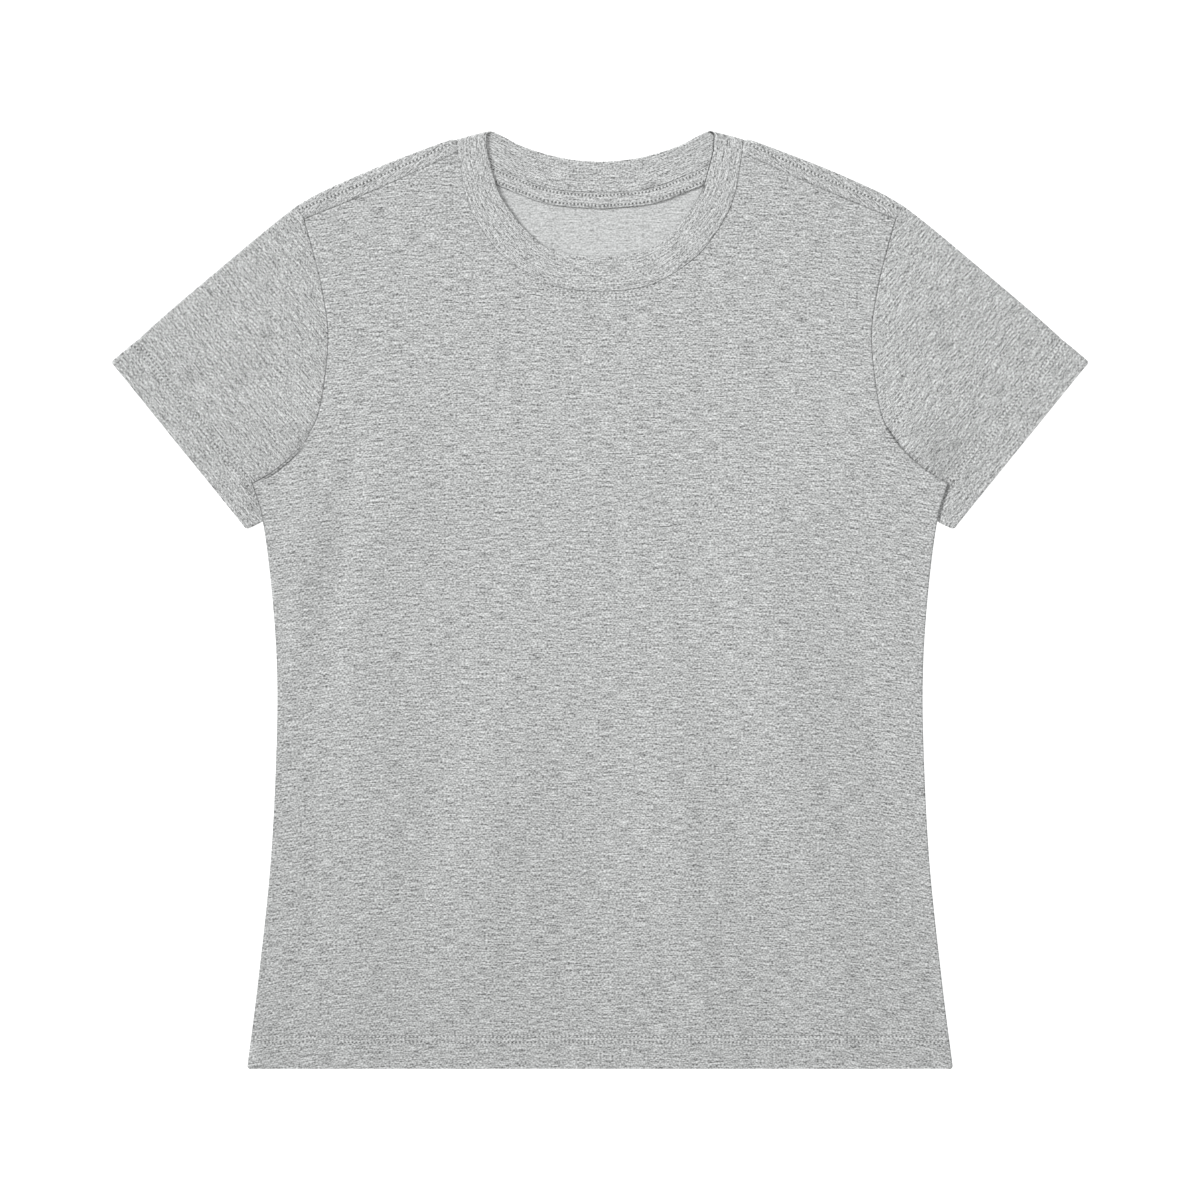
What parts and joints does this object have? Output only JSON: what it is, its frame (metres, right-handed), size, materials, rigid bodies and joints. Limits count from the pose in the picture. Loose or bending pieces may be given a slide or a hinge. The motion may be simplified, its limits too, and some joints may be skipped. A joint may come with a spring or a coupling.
{
  "type": "crew neck t-shirt",
  "caption": "Short-sleeved crew neck t-shirt in heather jersey, laid out flat on its back with its front up.",
  "frame": {"origin": "on the surface the shirt lies on, under the middle of its width and length", "axes": "+Z out of the front of the shirt, away from the surface; +Y towards the neck; +X towards the wearer's left"},
  "size_m": [0.692, 0.6651, 0.0067],
  "materials": {
    "jersey": "matte heather single jersey",
    "neckband_rib": "matte heather fine rib",
    "neck_tape": "matte heather jersey strip, topstitched"
  },
  "bodies": {
    "root": {"front_panel": "jersey", "back_panel": "jersey", "sleeve_left": "jersey", "sleeve_right": "jersey", "neckband": "neckband_rib", "neck_tape": "neck_tape"}
  },
  "joints": []
}
